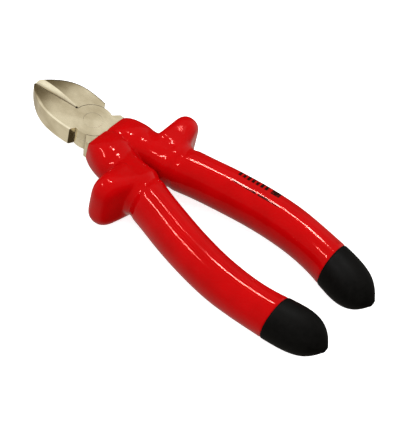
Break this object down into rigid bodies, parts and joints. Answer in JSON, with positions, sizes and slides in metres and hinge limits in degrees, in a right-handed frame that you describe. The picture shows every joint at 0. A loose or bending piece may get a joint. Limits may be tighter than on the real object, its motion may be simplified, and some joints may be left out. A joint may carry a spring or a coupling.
{
  "type": "diagonal cutting pliers",
  "caption": "Insulated diagonal cutting pliers: short bevelled jaws on a flush riveted lap joint, dipped red handles with finger guards and black ends.",
  "frame": {"origin": "on the rivet axis at the joint's upper ground face, jaws closed", "axes": "+Z out of the upper ground face along the rivet, +Y towards the tip of the jaws, +X towards the right handle"},
  "size_m": [0.064, 0.18, 0.0267],
  "materials": {
    "steel": "satin ground forging, lightly oiled",
    "rivet_steel": "ground flush with the joint",
    "inner_insulation": "dipped, contrast yellow",
    "guard_core": "moulded, stiff",
    "outer_insulation": "thick glossy plastisol dip",
    "end_dip": "matte black dip"
  },
  "bodies": {
    "right_half": {"right_lever": "steel", "joint_rivet": "rivet_steel", "right_inner_insulation": "inner_insulation", "right_guard_collar": "guard_core", "right_outer_insulation": "outer_insulation", "right_end_dip": "end_dip"},
    "left_half": {"left_lever": "steel", "left_inner_insulation": "inner_insulation", "left_guard_collar": "guard_core", "left_outer_insulation": "outer_insulation", "left_end_dip": "end_dip"}
  },
  "joints": [
    {"name": "jaw_pivot", "type": "hinge", "parent": "right_half", "child": "left_half", "pos_m": [0, 0, 0], "axis": [0, 0, -1], "range_deg": [0, 35]}
  ]
}
